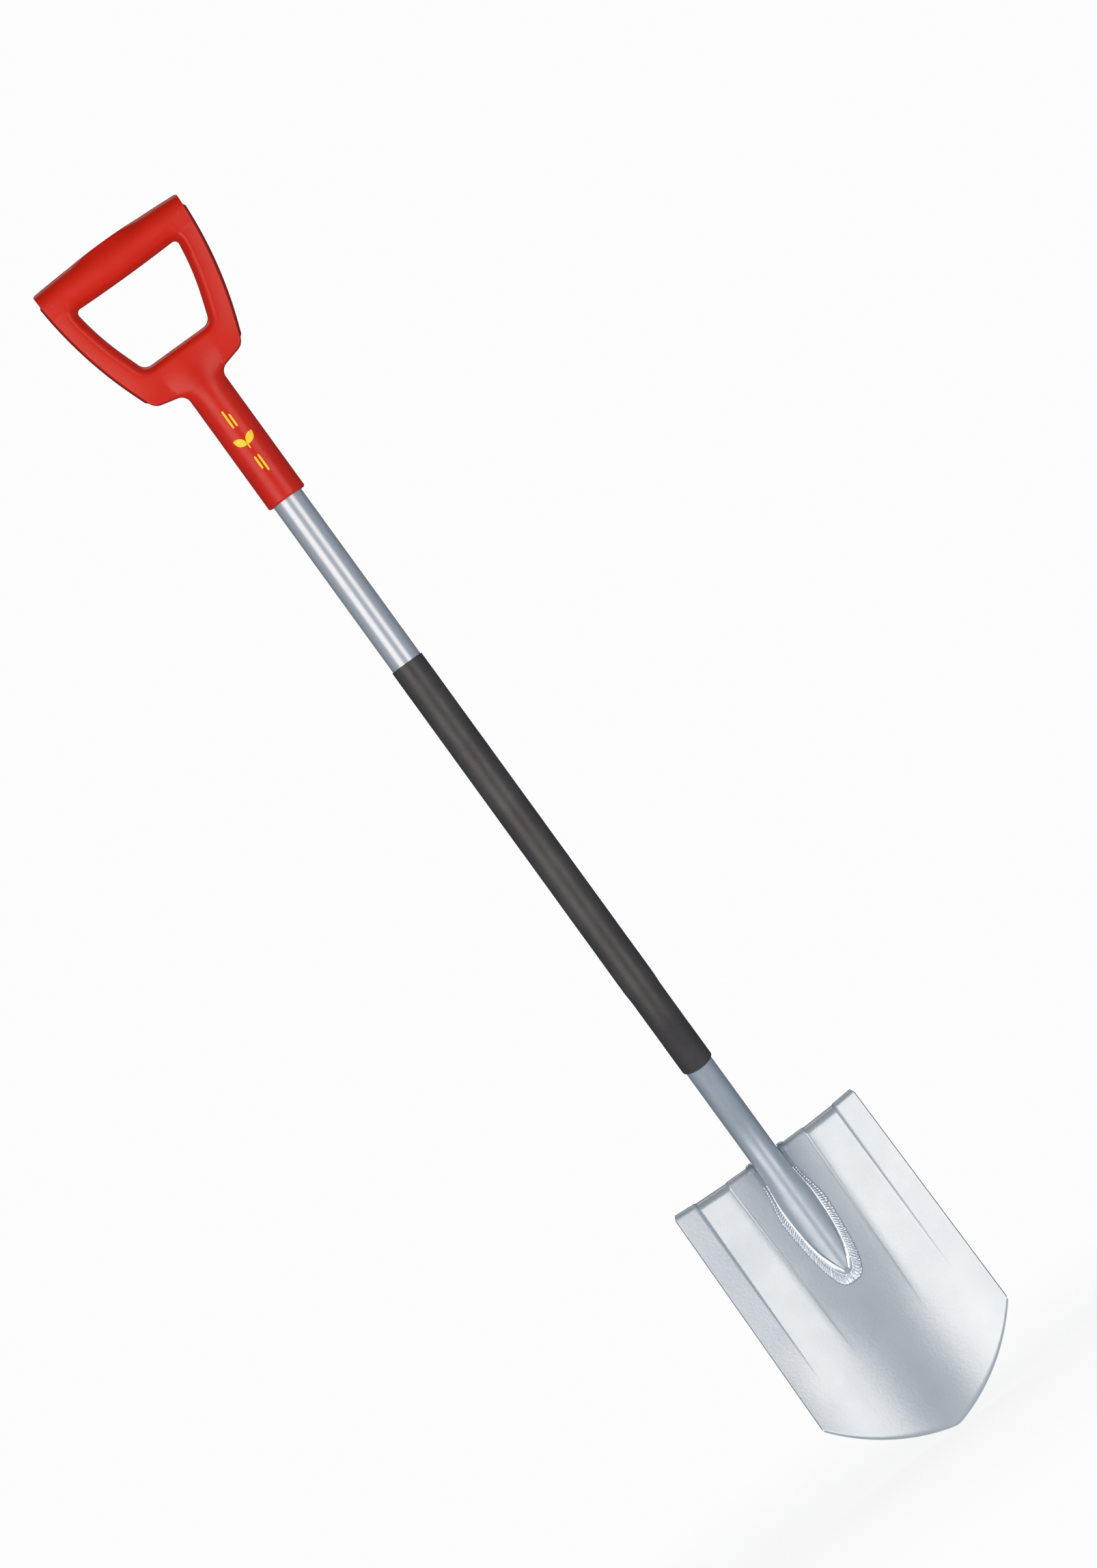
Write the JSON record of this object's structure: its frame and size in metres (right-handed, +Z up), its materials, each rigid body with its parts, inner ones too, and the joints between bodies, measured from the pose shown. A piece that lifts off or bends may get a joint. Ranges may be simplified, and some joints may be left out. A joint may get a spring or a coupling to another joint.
{
  "type": "garden spade",
  "caption": "Garden spade with a moulded D-grip, a sleeved and cranked tubular steel shaft, and a ribbed, dished, pointed steel blade with a folded tread.",
  "frame": {"origin": "under the middle of the spade's box, at the height of the blade's point", "axes": "+Z up along the shaft to the grip, -Y towards the hollow front of the blade, X across the blade"},
  "size_m": [0.183, 0.0983, 1.1698],
  "materials": {
    "grip_plastic": "semi-matte injection-moulded red plastic with a fine grain",
    "zinc_plate": "bright zinc-plated steel",
    "shaft_paint": "glossy blue-grey metallic paint on steel tube",
    "sleeve_plastic": "semi-matte black plastic sleeve",
    "neck_paint": "satin blue-grey paint on steel tube",
    "blade_paint": "silver paint with a fine orange-peel texture on pressed steel",
    "weld_metal": "silver paint over a rippled weld"
  },
  "bodies": {
    "root": {"handle_front_shell": "grip_plastic", "handle_back_shell": "grip_plastic", "handle_screw": "zinc_plate", "shaft_tube": "shaft_paint", "grip_sleeve": "sleeve_plastic", "neck_tube": "neck_paint", "blade": "blade_paint", "weld_bead": "weld_metal", "tread_weld_left": "weld_metal", "tread_weld_right": "weld_metal"}
  },
  "joints": []
}
